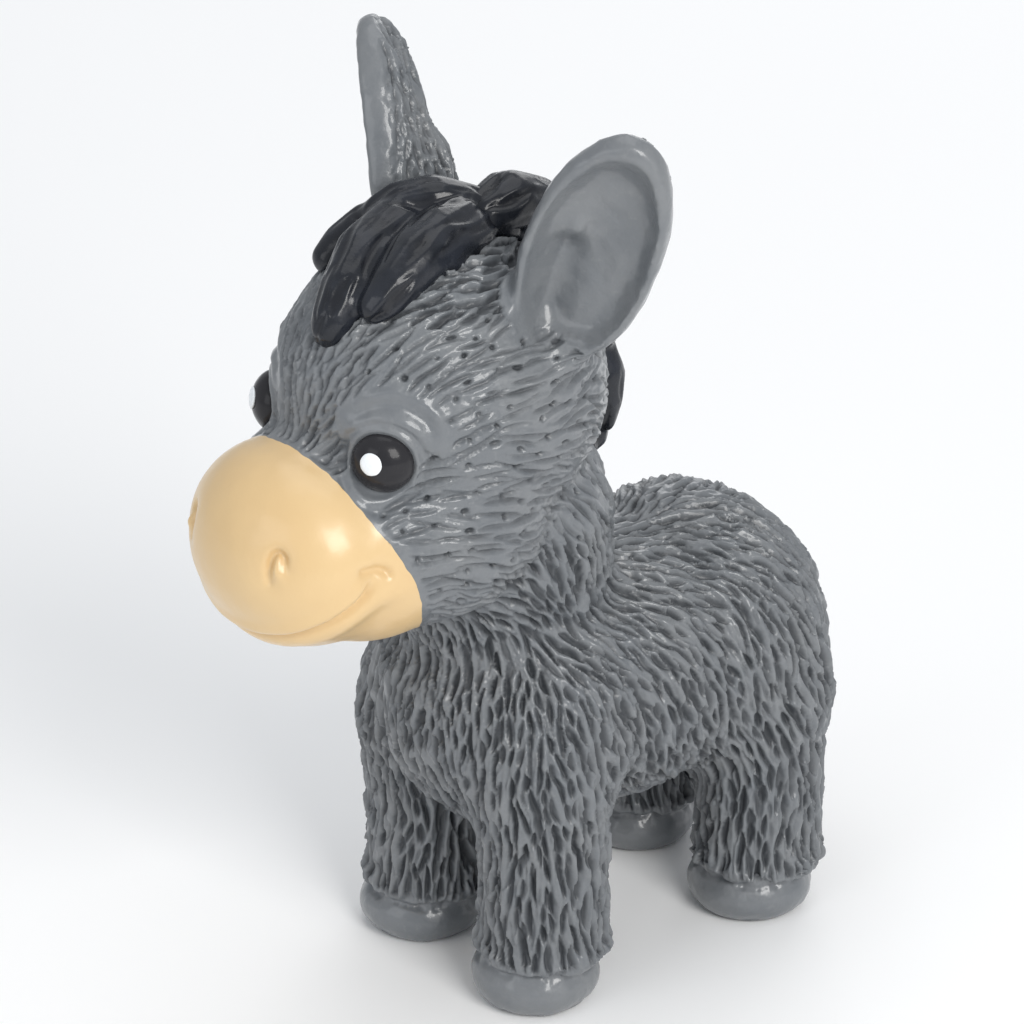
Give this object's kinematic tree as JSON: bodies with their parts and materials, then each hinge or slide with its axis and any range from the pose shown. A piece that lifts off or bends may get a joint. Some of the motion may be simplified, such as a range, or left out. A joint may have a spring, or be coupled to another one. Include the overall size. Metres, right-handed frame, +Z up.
{
  "type": "squeaky toy donkey",
  "caption": "Standing donkey foal squeeze toy: hollow moulded latex skin with carved fur, pale muzzle, black forelock and mane, and a reed squeaker plugged into the belly.",
  "frame": {"origin": "on the ground plane under the middle of the bounding box, between the left and right legs", "axes": "+Z up from the hoof soles, -Y the way the donkey looks, +X the donkey's left side"},
  "size_m": [0.071, 0.1184, 0.1499],
  "materials": {
    "latex_grey": "bluish grey coloured latex, carved fur, satin to glossy",
    "latex_cream": "cream coloured latex coat, smooth, satin",
    "latex_black": "black coloured latex, glossy",
    "eye_black": "black latex paint, glossy",
    "glint_white": "white latex paint, satin",
    "squeaker_plastic": "natural polyethylene, satin",
    "reed_film": "clear amber polyester film"
  },
  "bodies": {
    "toy": {"skin": "latex_grey", "muzzle_coat": "latex_cream", "forelock": "latex_black", "mane": "latex_black", "tail_tuft": "latex_black", "left_eye": "eye_black", "right_eye": "eye_black", "left_glint": "glint_white", "right_glint": "glint_white", "squeaker_cup": "squeaker_plastic", "squeaker_cap": "squeaker_plastic", "reed_block": "squeaker_plastic", "reed_wedge": "squeaker_plastic"},
    "reed_tongue": {"reed": "reed_film"}
  },
  "joints": [
    {"name": "reed_flutter", "type": "hinge", "parent": "toy", "child": "reed_tongue", "pos_m": [0, 0.0158, 0.0327], "axis": [1, 0, 0], "range_deg": [-3, 3], "stiffness_Nm_per_rad": 0.005}
  ]
}
